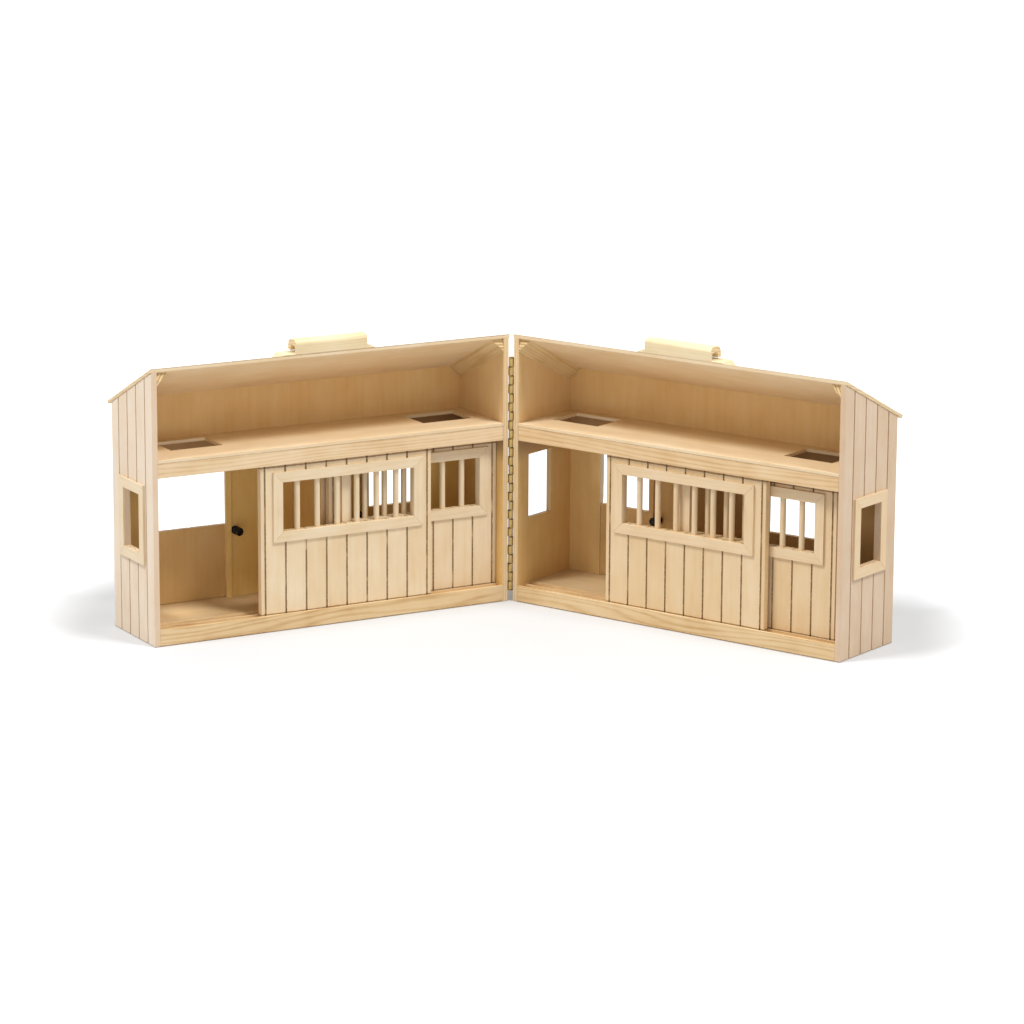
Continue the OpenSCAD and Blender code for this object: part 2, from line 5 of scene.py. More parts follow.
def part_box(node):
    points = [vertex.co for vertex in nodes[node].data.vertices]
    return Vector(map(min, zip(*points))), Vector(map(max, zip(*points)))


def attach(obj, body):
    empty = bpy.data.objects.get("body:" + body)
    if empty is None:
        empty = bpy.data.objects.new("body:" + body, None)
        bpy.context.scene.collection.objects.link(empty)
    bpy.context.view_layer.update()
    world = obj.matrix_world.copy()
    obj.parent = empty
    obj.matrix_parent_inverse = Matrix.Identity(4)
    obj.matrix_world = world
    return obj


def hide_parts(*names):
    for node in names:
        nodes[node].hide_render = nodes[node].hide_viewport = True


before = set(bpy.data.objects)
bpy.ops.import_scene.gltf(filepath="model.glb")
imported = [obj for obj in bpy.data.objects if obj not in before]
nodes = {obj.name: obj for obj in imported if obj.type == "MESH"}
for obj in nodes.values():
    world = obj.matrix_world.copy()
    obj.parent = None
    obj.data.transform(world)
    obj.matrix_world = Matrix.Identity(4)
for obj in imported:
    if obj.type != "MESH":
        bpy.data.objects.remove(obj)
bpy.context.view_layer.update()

# Sizes in millimetres, as in the part's source; the screws are only here
HALF_L, HALF_D, WALL = 340.0, 83.0, 5.0
SPREAD = math.radians(33.0)
INNER_BACK = HALF_D - WALL
BASE_H, SPLIT_Z, DOOR_TOP = 14.5, 79.5, 138.0
FRONT_TRACK, REAR_TRACK, DOOR_T = 3.0, 12.0, 6.0
BOARD_W, WIN_AT, WIN_L, WIN_Z, WIN_H = 19.5, 17.5, 126.0, 86.5, 43.0
TRIM_W, TRIM_T, BARS, BAR_D, BAR_SHIFT = 9.0, 2.0, 6, 5.0, 3.5
RAIL_LOW, LOFT_LOW, RIDGE_H = 145.0, 157.5, 239.0
PIANO_LOW, KNUCKLE = 10.0, 8.0
END_WIN_L, END_WIN_LOW, END_WIN_HIGH = 32.0, 76.5, 127.5
END_GROOVE, END_BOARD_W, BACK_GROOVE, DOOR_GROOVE = 14.5, 18.0, 14.0, 4.0
AXIS_X, AXIS_Y = 2.417, 0.4
ROOF_PITCH = math.radians(25.4)
PIVOT_OUT, HINGE_H, PLATE_W, PLATE_T, BARREL_D, LEAF_FROM = 2.1, 24.0, 8.0, 0.6, 3.6, 3.8
KNOB_OFF, KNOB_Z, KNOB_GAP, SPINDLE_R = 7.0, 73.5, 0.3, 1.3
BLADE_R, BLADE_L, BLADE_GAP, BLADE_OUT = 3.0, 12.0, 0.15, 2.0
PIANO_SCREWS, PIANO_SCREW_LOW, PIANO_SCREW_STEP, PIANO_SCREW_IN, PIANO_LEAF_T = 6, 22.0, 37.0, 6.6, 0.8
LEFT, RIGHT = -1, 1
SIDES = {"left": LEFT, "right": RIGHT}
# How far each sliding door stands from the inner end wall, and how many degrees the upper leaves are open
DOOR_AT = {"left_front": 70.0, "right_front": 93.0, "left_rear": 0.5, "right_rear": 157.5}
OPEN = {"left_inner": 130.0, "right_inner": 175.0, "left_outer": 88.0, "right_outer": 88.0}
# Where each doorway's hinge pin and the free edge of its leaves are along the half
PIVOT = {"left_inner": 40.8, "right_inner": 34.8, "left_outer": 307.2, "right_outer": 287.2}
FREE = {"left_inner": 101.0, "right_inner": 95.0, "left_outer": 235.0, "right_outer": 215.0}

pin_lo, pin_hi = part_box("piano_hinge_pin")
HINGE_Y = (pin_lo.y + pin_hi.y) / 2


def place(side):
    """From a half's own millimetres (length from the hinge, depth, height) to the frame."""
    c, s = math.cos(SPREAD), math.sin(SPREAD)
    turn = Matrix((
        (side * c, side * s, 0, 0),
        (-s, c, 0, HINGE_Y * 1000),
        (0, 0, 1, 0),
        (0, 0, 0, 1)))
    return Matrix.Scale(0.001, 4) @ turn @ Matrix.Translation((AXIS_X, AXIS_Y, 0))


def srgb(code):
    out = []
    for i in (1, 3, 5):
        v = int(code[i:i + 2], 16) / 255
        out.append(v / 12.92 if v <= 0.04045 else ((v + 0.055) / 1.055) ** 2.4)
    return (*out, 1.0)


def seen_rays(tree):
    """1 for the rays that show the white background: camera, glossy and transmission rays."""
    path = tree.nodes.new("ShaderNodeLightPath")
    seen = path.outputs["Is Camera Ray"]
    for kind in ("Is Glossy Ray", "Is Transmission Ray"):
        most = tree.nodes.new("ShaderNodeMath")
        most.operation = "MAXIMUM"
        tree.links.new(seen, most.inputs[0])
        tree.links.new(path.outputs[kind], most.inputs[1])
        seen = most.outputs[0]
    return seen


# ---- materials ----
class Graph:
    """A material's node tree, with short calls for its nodes."""

    def __init__(self, name):
        self.mat = bpy.data.materials.new(name)
        self.mat.use_nodes = True
        self.nt = self.mat.node_tree
        self.nt.nodes.clear()
        self.out = self.nt.nodes.new("ShaderNodeOutputMaterial")
        self.bsdf = self.nt.nodes.new("ShaderNodeBsdfPrincipled")
        self.link(self.bsdf.outputs[0], self.out.inputs[0])

    def link(self, a, b):
        self.nt.links.new(a, b)

    def put(self, socket, value):
        if isinstance(value, bpy.types.NodeSocket):
            self.link(value, socket)
        else:
            socket.default_value = value

    def node(self, kind, **props):
        n = self.nt.nodes.new("ShaderNode" + kind)
        for k, v in props.items():
            setattr(n, k, v)
        return n

    def math(self, op, a, b=0.0, c=0.0, clamp=False):
        n = self.node("Math", operation=op, use_clamp=clamp)
        for s, v in zip(n.inputs, (a, b, c)):
            self.put(s, v)
        return n.outputs[0]

    def combine(self, x, y, z):
        n = self.node("CombineXYZ")
        for s, v in zip(n.inputs, (x, y, z)):
            self.put(s, v)
        return n.outputs[0]

    def noise(self, vector, scale=1.0, detail=2.0, rough=0.5):
        n = self.node("TexNoise")
        self.put(n.inputs["Vector"], vector)
        n.inputs["Scale"].default_value = scale
        n.inputs["Detail"].default_value = detail
        n.inputs["Roughness"].default_value = rough
        return n.outputs["Fac"]

    def ramp(self, fac, stops):
        n = self.node("ValToRGB")
        e = n.color_ramp.elements
        while len(e) < len(stops):
            e.new(0.5)
        for el, (p, c) in zip(e, stops):
            el.position, el.color = p, c
        self.put(n.inputs[0], fac)
        return n.outputs[0]

    def smooth(self, v, lo, hi):
        n = self.node("MapRange", interpolation_type="SMOOTHSTEP")
        for s, x in zip(n.inputs, (v, lo, hi, 0.0, 1.0)):
            self.put(s, x)
        return n.outputs[0]

    def mix(self, fac, a, b, blend="MIX"):
        n = self.node("Mix", data_type="RGBA", blend_type=blend)
        self.put(n.inputs[0], fac)
        self.put(n.inputs[6], a)
        self.put(n.inputs[7], b)
        return n.outputs[2]

    def to_joint(self, part, step):
        """Distance to the nearer end of a step, from the part of it that is behind."""
        from_middle = self.math("ABSOLUTE", self.math("SUBTRACT", part, 0.5))
        return self.math("MULTIPLY", self.math("SUBTRACT", 0.5, from_middle), step)

    def millimetres(self, tex):
        """The object's own coordinates in millimetres."""
        n = self.node("VectorMath", operation="SCALE")
        self.link(tex.outputs["Object"], n.inputs[0])
        n.inputs["Scale"].default_value = 1000.0
        return n.outputs[0]

    def bump(self, height, strength, distance):
        n = self.node("Bump")
        n.inputs["Strength"].default_value = strength
        n.inputs["Distance"].default_value = distance
        self.put(n.inputs["Height"], height)
        self.link(n.outputs[0], self.bsdf.inputs["Normal"])


WOODS = {
    # light, middle and dark tones, depth of the ring lines, their spacing in millimetres, streaks, and
    # how much the rings wander: 1 is a broad flame, 0 is straight
    "ply": ("#F1DFC1", "#E9D0AA", "#DCBB8C", 0.2, 11.0, 0.4, 1.0),
    # painted light and shade: the left end wall's tones are lighter because it is lit more, the right end
    # wall's darker
    "left_end": ("#EEE0CE", "#E9D5BD", "#D9BE9D", 0.2, 11.0, 0.4, 1.0),
    "right_end": ("#E0CCB5", "#D8BEA1", "#CAA985", 0.2, 11.0, 0.4, 1.0),
    "rail": ("#F1DCBD", "#E8CBA2", "#C9A06A", 0.62, 2.6, 0.6, 0.3),
    "base": ("#ECD6B0", "#E2C394", "#BF935B", 0.68, 3.4, 0.6, 0.6),
    "pine": ("#EBD3A6", "#DFC18E", "#B88D54", 0.6, 3.6, 0.6, 0.9),
    "trim": ("#F0DFC4", "#E8D2AF", "#D8B98B", 0.3, 3.4, 0.5, 0.4),
    # the right half is a little warmer
    "warm_ply": ("#ECD5B2", "#E4C79C", "#D8B381", 0.2, 11.0, 0.4, 1.0),
    "warm_rail": ("#EED7B3", "#E4C396", "#C4985F", 0.62, 2.6, 0.6, 0.3),
    "warm_trim": ("#ECD6B6", "#E5CAA3", "#D5B281", 0.3, 3.4, 0.5, 0.4),
    "handle": ("#F2E2C2", "#EAD6AE", "#D6BA85", 0.4, 3.4, 0.5, 0.4),
}
# How much red, green and blue some faces keep, as painted shade: those that look into the barn are darker and
# browner, and so are the front edges of the end walls and the top of the roof; the roof's underside gets
# painted light
PAINTED_LIGHT_SHADE = {"wall": (0.99, 0.84, 0.57), "left_stall": (1.13, 1.0, 0.55), "right_stall": (0.95, 0.8, 0.51),
         "end": (0.96, 0.86, 0.68), "left_stall_end": (1.0, 0.84, 0.5), "right_stall_end": (0.88, 0.73, 0.45),
         "loft": (0.81, 0.75, 0.64), "leaf": (0.84, 0.69, 0.44), "roof": (1.04, 1.02, 0.98),
         "left_front": (0.92, 0.84, 0.76), "right_front": (1.0, 0.97, 0.94), "under_loft": (0.52, 0.4, 0.28),
         "corner": (0.5, 0.45, 0.4), "top": (0.8, 0.8, 0.84)}
# A face counts as turned some way as its normal's share of that way goes from the first to the second
TURNED = (0.3, 0.7)
# Painted shade: the stalls' walls get darker between these heights, just below the loft
DUSK = (122.0, 142.0)
# Painted shade: the back walls darken towards the outer corner between these lengths
CORNER = (296.0, 312.0)
# Painted shade on the lofts' floors: none up to the first depth, full from the second
LIT = (26.0, 48.0)


def wood(name, kind, side, grain, boards=None, seed=0.0, thick=None, lines=(), ends=0.5, tints=(), tilt=0.0,
         corner=None, lit=None):
    """Wood with its grain along a half's own length (a), depth (b) or height (z).

    boards is (axis, first edge, width, facing axis, facing way, dirt) where it is grooved into boards.
    lines are (height, half width, strength) of dark lines across its upright faces: painted shade along contact
    edges and seams, in part real seams and dirt.
    ends is how strongly the rings show on a sawn end.
    tints are (facing along a, facing along b, facing up, tint, tint below the loft) of faces with painted
    shade, and on the roof's underside painted light.
    tilt turns the grain from the depth towards the roof's slope.
    corner is the place of the hinge where faces turned inwards darken towards the outer corner, as painted
    shade.
    lit is the place of the open front where the tints fade in with depth."""
    g = Graph(name)
    light, middle, dark, ring_depth, ring_step, streaky, wander = WOODS[kind]
    tex = g.node("TexCoord")
    turn = g.node("Mapping")
    turn.inputs["Rotation"].default_value = (0, 0, side * SPREAD)
    g.link(tex.outputs["Object"], turn.inputs["Vector"])
    mm = g.node("VectorMath", operation="SCALE")
    g.link(turn.outputs[0], mm.inputs[0])
    mm.inputs["Scale"].default_value = 1000.0
    sep = g.node("SeparateXYZ")
    g.link(mm.outputs[0], sep.inputs[0])
    axis = dict(zip("abz", sep.outputs))
    normal = g.node("Mapping", vector_type="NORMAL")
    normal.inputs["Rotation"].default_value = (0, 0, side * SPREAD)
    g.link(tex.outputs["Normal"], normal.inputs["Vector"])
    nsep = g.node("SeparateXYZ")
    g.link(normal.outputs[0], nsep.inputs[0])
    across = dict(zip("abz", nsep.outputs))
    height = axis["z"]
    if tilt:
        c, s = math.cos(tilt), math.sin(tilt)
        axis["b"], axis["z"] = (g.math("MULTIPLY_ADD", axis["b"], c, g.math("MULTIPLY", axis["z"], -s)),
                                g.math("MULTIPLY_ADD", axis["b"], s, g.math("MULTIPLY", axis["z"], c)))
    u = axis[grain]
    v, w = [axis[k] for k in "abz" if k != grain]
    tone = 0.0
    if boards:
        k, first, width, face, way, dirt = boards
        count = g.math("DIVIDE", g.math("SUBTRACT", axis[k], first), width)
        index = g.math("FLOOR", count)
        white = g.node("TexWhiteNoise", noise_dimensions="1D")
        g.put(white.inputs["W"], g.math("ADD", index, seed + 0.37))
        # the far side is one plain sheet
        grooved = g.math("SUBTRACT", 1.0, g.smooth(g.math("MULTIPLY", across[face], -way), 0.3, 0.6))
        tone = g.math("MULTIPLY", white.outputs["Value"], grooved)
        u = g.math("MULTIPLY_ADD", tone, 400.0, u)
    u = g.math("ADD", u, seed * 57.0)
    # broad slow figure, whose contour lines are the growth rings
    body = g.noise(g.combine(g.math("MULTIPLY", u, 0.0036), g.math("MULTIPLY", v, 0.032),
                             g.math("MULTIPLY", w, 0.032)), detail=1.5, rough=0.45)
    slant = g.math("MULTIPLY", g.math("ADD", v, w), 0.0125 / wander)
    field = g.math("MULTIPLY", g.math("ADD", body, slant), 62.0 * wander / ring_step)
    ring = g.math("MULTIPLY_ADD", g.math("SINE", g.math("MULTIPLY", field, 6.2832)), 0.5, 0.5)
    ring = g.math("POWER", ring, 2.4)
    streak = g.noise(g.combine(g.math("MULTIPLY", u, 0.02), g.math("MULTIPLY", v, 0.3),
                               g.math("MULTIPLY", w, 0.3)), detail=3.0, rough=0.6)
    fibre = g.noise(g.combine(g.math("MULTIPLY", u, 0.11), g.math("MULTIPLY", v, 2.6),
                              g.math("MULTIPLY", w, 2.6)), detail=2.0, rough=0.55)
    cloud = g.noise(g.combine(g.math("MULTIPLY", u, 0.03), g.math("MULTIPLY", v, 0.045),
                              g.math("MULTIPLY", w, 0.045)), detail=2.5)
    f = g.math("MULTIPLY", ring, ring_depth * 0.42)
    f = g.math("MULTIPLY_ADD", g.math("SUBTRACT", streak, 0.5), streaky, f)
    f = g.math("MULTIPLY_ADD", g.math("SUBTRACT", fibre, 0.5), 0.3, f)
    f = g.math("MULTIPLY_ADD", g.math("SUBTRACT", cloud, 0.5), 0.75, f)
    if boards:
        f = g.math("MULTIPLY_ADD", g.math("SUBTRACT", tone, g.math("MULTIPLY", grooved, 0.5)), 0.3, f)
    f = g.math("ADD", f, 0.36, clamp=True)
    colour = g.ramp(f, [(0.0, srgb(light)), (0.45, srgb(middle)), (1.0, srgb(dark))])
    # sawn ends: close rings across the board
    end = g.smooth(g.math("ABSOLUTE", across[grain]), 0.72, 0.9)
    r = g.math("SQRT", g.math("ADD", g.math("POWER", g.math("ADD", v, 9.0), 2.0),
                              g.math("POWER", g.math("ADD", w, 14.0), 2.0)))
    rings = g.math("MULTIPLY_ADD", g.math("SINE", g.math("MULTIPLY", r, 6.2832 / 2.6)), 0.5, 0.5)
    rings = g.math("MULTIPLY_ADD", g.math("SUBTRACT", fibre, 0.5), 0.5, g.math("MULTIPLY", rings, 0.8))
    end_colour = g.ramp(rings, [(0.0, srgb("#E8CF9F")), (0.5, srgb("#D9B882")), (1.0, srgb("#94693A"))])
    if thick:
        k, low, step = thick
        layer = g.math("FRACT", g.math("DIVIDE", g.math("SUBTRACT", axis[k], low), step * 2))
        layer = g.smooth(g.math("ABSOLUTE", g.math("SUBTRACT", layer, 0.5)), 0.2, 0.3)
        layered = g.ramp(g.math("MULTIPLY_ADD", g.math("SUBTRACT", fibre, 0.5), 0.7, layer),
                         [(0.0, srgb("#EBD3A9")), (1.0, srgb("#D5B17B"))])
        edge = g.math("SUBTRACT", 1.0, g.smooth(g.math("ABSOLUTE", across[k]), 0.3, 0.6))
        colour = g.mix(g.math("MULTIPLY", edge, 0.6), colour, layered)
    else:
        colour = g.mix(g.math("MULTIPLY", end, ends), colour, end_colour)
    above = g.smooth(height, LOFT_LOW - 1.0, LOFT_LOW + 1.0)
    # painted light and shade: faces turned each way are multiplied by their tint
    for to_a, to_b, to_z, tint, low_tint in tints:
        towards = g.math("MULTIPLY_ADD", across["a"], to_a * side, g.math("MULTIPLY", across["b"], to_b))
        faces = g.smooth(g.math("MULTIPLY_ADD", across["z"], to_z, towards), *TURNED)
        # painted shade that fades in with depth into the loft
        if lit is not None:
            faces = g.math("MULTIPLY", faces, g.smooth(g.math("SUBTRACT", axis["b"], lit), *LIT))
        low = (*PAINTED_LIGHT_SHADE[low_tint], 1.0)
        # painted shade on the stalls' walls just below the loft
        if "stall" in low_tint:
            low = g.mix(g.smooth(height, *DUSK), low, (*PAINTED_LIGHT_SHADE["under_loft"], 1.0))
        keeps = g.mix(above, low, (*PAINTED_LIGHT_SHADE[tint], 1.0))
        colour = g.mix(faces, colour, keeps, blend="MULTIPLY")
    # painted shade on inward faces towards the back wall's outer corner
    if corner is not None:
        along = g.math("MULTIPLY", g.math("SUBTRACT", axis["a"], corner), side)
        looks_in = g.smooth(g.math("MULTIPLY", across["b"], -1.0), *TURNED)
        dim = g.math("MULTIPLY", g.smooth(along, *CORNER), looks_in)
        dim = g.math("MULTIPLY", dim, g.math("SUBTRACT", 1.0, above))
        colour = g.mix(dim, colour, (*PAINTED_LIGHT_SHADE["corner"], 1.0), blend="MULTIPLY")
    if boards:
        # dark ragged edges where the grooves were cut
        near = g.to_joint(g.math("SUBTRACT", count, index), width)
        rag = g.noise(mm.outputs[0], scale=0.55, detail=3.0, rough=0.7)
        patch = g.noise(mm.outputs[0], scale=0.07, detail=2.0)
        near = g.math("MULTIPLY_ADD", g.math("SUBTRACT", rag, 0.5), 1.5, near)
        mask = g.math("SUBTRACT", 1.0, g.smooth(near, 0.6, 1.05))
        mask = g.math("MULTIPLY", mask, g.smooth(patch, 0.2, 0.5))
        mask = g.math("MULTIPLY", mask, g.math("MULTIPLY", grooved, dirt))
        colour = g.mix(mask, colour, srgb("#7D5B30"))
    # dark lines: painted shade along contact edges and seams, in part real seams and dirt
    for at, half, strength in lines:
        near = g.math("ABSOLUTE", g.math("SUBTRACT", height, at))
        rag = g.noise(mm.outputs[0], scale=0.3, detail=2.0)
        near = g.math("MULTIPLY_ADD", g.math("SUBTRACT", rag, 0.5), half, near)
        upright = g.math("SUBTRACT", 1.0, g.smooth(g.math("ABSOLUTE", across["z"]), 0.4, 0.7))
        mask = g.math("SUBTRACT", 1.0, g.smooth(near, half * 0.6, half * 1.2))
        colour = g.mix(g.math("MULTIPLY", g.math("MULTIPLY", mask, upright), strength), colour, srgb("#7E5A33"))
    g.link(colour, g.bsdf.inputs["Base Color"])
    rough = g.math("MULTIPLY_ADD", fibre, 0.16, 0.5)
    g.link(g.math("MULTIPLY_ADD", ring, -0.05, rough), g.bsdf.inputs["Roughness"])
    g.bsdf.inputs["Specular IOR Level"].default_value = 0.3
    relief = g.math("MULTIPLY_ADD", fibre, 0.6, g.math("MULTIPLY_ADD", ring, -0.25 * ring_depth, streak))
    g.bump(relief, 0.22, 0.0002)
    return g.mat


def brass(name, pitch=None):
    """Brass with a dull skin; pitch darkens the joints between a long hinge's knuckles."""
    g = Graph(name)
    mm = g.millimetres(g.node("TexCoord"))
    spots = g.noise(mm, scale=0.35, detail=3.0)
    fine = g.noise(mm, scale=2.2, detail=2.0)
    f = g.math("MULTIPLY_ADD", g.math("SUBTRACT", fine, 0.5), 0.3, spots, clamp=True)
    colour = g.ramp(f, [(0.3, srgb("#B3985F")), (0.55, srgb("#BFA36A")), (0.8, srgb("#C8AE76"))])
    if pitch:
        sep = g.node("SeparateXYZ")
        g.link(mm, sep.inputs[0])
        count = g.math("DIVIDE", g.math("SUBTRACT", sep.outputs["Z"], PIANO_LOW), pitch)
        near = g.to_joint(g.math("FRACT", count), pitch)
        mask = g.math("SUBTRACT", 1.0, g.smooth(near, 0.3, 1.1))
        # the joints darken by turns towards one leaf and the other
        joint = g.math("ADD", g.math("FLOOR", g.math("ADD", count, 0.5)), 0.5)
        turn = g.math("SINE", g.math("MULTIPLY", joint, math.pi))
        lean = g.smooth(g.math("MULTIPLY", sep.outputs["X"], turn), -1.6, 1.2)
        # and only on the knuckles, not on the flat leaves
        deep = g.math("SUBTRACT", sep.outputs["Y"], HINGE_Y * 1000)
        square = g.math("ADD", g.math("POWER", sep.outputs["X"], 2.0), g.math("POWER", deep, 2.0))
        mask = g.math("MULTIPLY", mask, g.math("SUBTRACT", 1.0, g.smooth(g.math("SQRT", square), 2.6, 3.1)))
        mask = g.math("MULTIPLY", mask, g.math("MULTIPLY_ADD", lean, 0.6, 0.25))
        colour = g.mix(mask, colour, srgb("#4A3819"))
    g.link(colour, g.bsdf.inputs["Base Color"])
    g.bsdf.inputs["Metallic"].default_value = 0.85
    g.link(g.math("MULTIPLY_ADD", spots, 0.06, 0.38), g.bsdf.inputs["Roughness"])
    g.bump(fine, 0.04, 0.0001)
    return g.mat


def black():
    """The turn knobs' black plastic."""
    g = Graph("black_plastic")
    fine = g.noise(g.millimetres(g.node("TexCoord")), scale=1.6, detail=3.0)
    g.link(g.ramp(fine, [(0.3, srgb("#0B0A0A")), (0.75, srgb("#171412"))]), g.bsdf.inputs["Base Color"])
    g.link(g.math("MULTIPLY_ADD", fine, 0.14, 0.32), g.bsdf.inputs["Roughness"])
    g.bsdf.inputs["Specular IOR Level"].default_value = 0.25
    g.bump(fine, 0.08, 0.0001)
    return g.mat


BRASS, PIANO, BLACK = brass("brass"), brass("piano_brass", KNUCKLE), black()
PINE = {}  # the trims' and bars' wood, by half and grain
for name, side in SIDES.items():
    for grain in "abz":
        kind = "trim" if side == LEFT else "warm_trim"
        PINE[side, grain] = wood(f"trim_{name}_{grain}", kind, side, grain, seed=2.0 + side)


def dress(obj, material, bevel=0.35, angle=32.0):
    """Gives a CAD piece its material, merged flat faces and rounded edges; the bevel is in millimetres."""
    obj.data.materials.clear()
    obj.data.materials.append(material)
    for p in obj.data.polygons:
        p.material_index = 0
    soften(obj, bevel, angle, True)


def soften(obj, bevel, angle=32.0, clean=False):
    """Rounds the edges sharper than angle; clean first merges the CAD mesh's flat faces."""
    if clean:
        weld = obj.modifiers.new("weld", "WELD")
        weld.merge_threshold = 0.00001
        flat = obj.modifiers.new("flat", "DECIMATE")
        flat.decimate_type = "DISSOLVE"
        flat.angle_limit = math.radians(0.6)
    if bevel:
        b = obj.modifiers.new("bevel", "BEVEL")
        b.width = bevel / 1000
        b.segments = 2
        b.limit_method = "ANGLE"
        b.angle_limit = math.radians(angle)
        b.harden_normals = True
        b.miter_outer = "MITER_SHARP"


def dress_cad():
    """Materials and rounded edges on every piece of the frame."""
    for name, side in SIDES.items():
        seed = 3.0 if side == LEFT else 11.0
        # the node coordinates turned into a half's own axes, less these offsets
        shift_a = side * (AXIS_X - HINGE_Y * 1000 * math.sin(SPREAD))
        shift_b = AXIS_Y + HINGE_Y * 1000 * math.cos(SPREAD)

        def ply(part, grain, kind="ply", **kw):
            return wood(f"ply_{name}_{part}", kind, side, grain, seed=seed + len(part), **kw)

        def pine(part, grain, kind="pine", **kw):
            return wood(f"pine_{name}_{part}", kind, side, grain, seed=seed + 2 * len(part), **kw)

        # the tints on these pieces are painted shade on faces that look into the barn, up or to the front
        dress(nodes[f"{name}_inner_end_wall"],
              ply("inner_end", "z", thick=("a", shift_a, 1.0), tints=[(1, 0, 0, "end", f"{name}_stall_end")]))
        # the dark line at the outer end wall's foot is a painted contact shadow
        dress(nodes[f"{name}_outer_end_wall"],
              ply("outer_end", "z", f"{name}_end",
                  boards=("b", shift_b + END_GROOVE, END_BOARD_W, "a", side, 0.12),
                  tints=[(-1, 0, 0, "end", f"{name}_stall_end"), (0, -1, 0, f"{name}_front", f"{name}_front")],
                  lines=[(0.0, 0.8, 0.45)]))
        dress(nodes[f"{name}_back_wall"],
              ply("back", "z", boards=("a", shift_a + side * BACK_GROOVE, BOARD_W, "b", 1, 0.4),
                  tints=[(0, -1, 0, "wall", f"{name}_stall")], corner=shift_a))
        # painted light on the roof's underside and painted shade on its top
        dress(nodes[f"{name}_roof"],
              ply("roof", "a", lines=[(RIDGE_H, 0.8, 0.65 if side == LEFT else 0.25)],
                  tints=[(0, 0, -1, "roof", "roof"), (0, 0, 1, "top", "top")]))
        # painted shade deeper in on the loft floor; the dark line at its front edge, here and on the loft rail,
        # is partly painted shade and partly a seam
        dress(nodes[f"{name}_loft_floor"],
              ply("loft", "a", lines=[(LOFT_LOW, 0.45, 0.5)], tints=[(0, 0, 1, "loft", "loft")],
                  lit=shift_b))
        dress(nodes[f"{name}_stall_floor"], ply("floor_of_stall", "a", tints=[(0, 0, 1, "loft", "loft")]))
        dress(nodes[f"{name}_stall_divider"],
              ply("divider_wall", "z", tints=[(1, 0, 0, "end", f"{name}_stall_end"),
                                              (-1, 0, 0, "end", f"{name}_stall_end")]))
        dress(nodes[f"{name}_loft_rail"],
              pine("loft", "a", "rail" if side == LEFT else "warm_rail", lines=[(LOFT_LOW, 0.45, 0.5)]))
        # the dark line at the base rail's foot is a painted contact shadow
        dress(nodes[f"{name}_base_rail"], pine("base_rail", "a", "base", lines=[(0.0, 0.9, 0.75)]))
        dress(nodes[f"{name}_roof_cleats"], pine("cleats", "b", ends=1.0, tilt=ROOF_PITCH), 0.25)
        dress(nodes[f"{name}_carry_handle"], pine("handle", "a", "handle"), 0.5)
        for track in ("front", "rear"):
            edge = shift_a + side * (WALL + DOOR_AT[f"{name}_{track}"] + DOOR_GROOVE)
            # painted shade and dirt: the door's dark top line lies just under the rail, lower on the door that
            # is deeper in, and a like line runs where the door meets the base rail
            under_rail = RAIL_LOW - 1.0 - 0.22 * (FRONT_TRACK if track == "front" else REAR_TRACK)
            dress(nodes[f"{name}_{track}_door"],
                  ply(f"{track}_door", "z", "ply" if side == LEFT else "warm_ply",
                      boards=("a", edge, BOARD_W, "b", -1, 0.6),
                      lines=[(under_rail, 0.9, 0.75), (BASE_H, 0.9, 0.75)],
                      tints=[(0, 1, 0, "wall", f"{name}_stall")]), 0.3)
        for where, way in (("inner", 1), ("outer", -1)):
            for level in ("upper", "lower"):
                part = f"{where}_{level}_leaf"
                swung = math.radians(OPEN[f"{name}_{where}"]) if level == "upper" else 0.0
                # painted shade on the face that looks into the stall, however far the leaf is swung
                inwards = (way * math.sin(swung), -math.cos(swung), 0)
                dress(nodes[f"{name}_{part}"], ply(part, "z", tints=[(*inwards, "leaf", "leaf")]), 0.3)
                dress(nodes[f"{name}_{where}_{level}_plate"], BRASS, 0.1)
            dress(nodes[f"{name}_{where}_doorway_hinges"], BRASS, 0.1)
        dress(nodes[f"{name}_piano_hinge_leaf"], PIANO, 0.2)
    dress(nodes["piano_hinge_pin"], PIANO, 0.15)


def finish_piece(name, bm, side, body, materials, replaced=(), bevel=0.25, smooth=None):
    """A new piece, drawn in its half's own millimetres, set in the frame."""
    bmesh.ops.transform(bm, matrix=place(side), verts=bm.verts)
    bmesh.ops.recalc_face_normals(bm, faces=bm.faces)
    mesh = bpy.data.meshes.new(name)
    bm.to_mesh(mesh)
    bm.free()
    if smooth:
        for p in mesh.polygons:
            p.use_smooth = True
        mesh.set_sharp_from_angle(angle=math.radians(smooth))
    for m in materials:
        mesh.materials.append(m)
    obj = bpy.data.objects.new(name, mesh)
    bpy.context.scene.collection.objects.link(obj)
    soften(obj, bevel, 40.0)
    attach(obj, body)
    if replaced:
        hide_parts(*replaced)
    return obj


def prism(bm, outline, low, high, to_point, slot=0):
    """Extrudes an outline between two levels; to_point(p, q, level) gives each corner."""
    a = [bm.verts.new(to_point(p, q, low)) for p, q in outline]
    b = [bm.verts.new(to_point(p, q, high)) for p, q in outline]
    faces = [bm.faces.new(a), bm.faces.new(b)]
    for i in range(len(outline)):
        j = (i + 1) % len(outline)
        faces.append(bm.faces.new((a[i], a[j], b[j], b[i])))
    for f in faces:
        f.material_index = slot


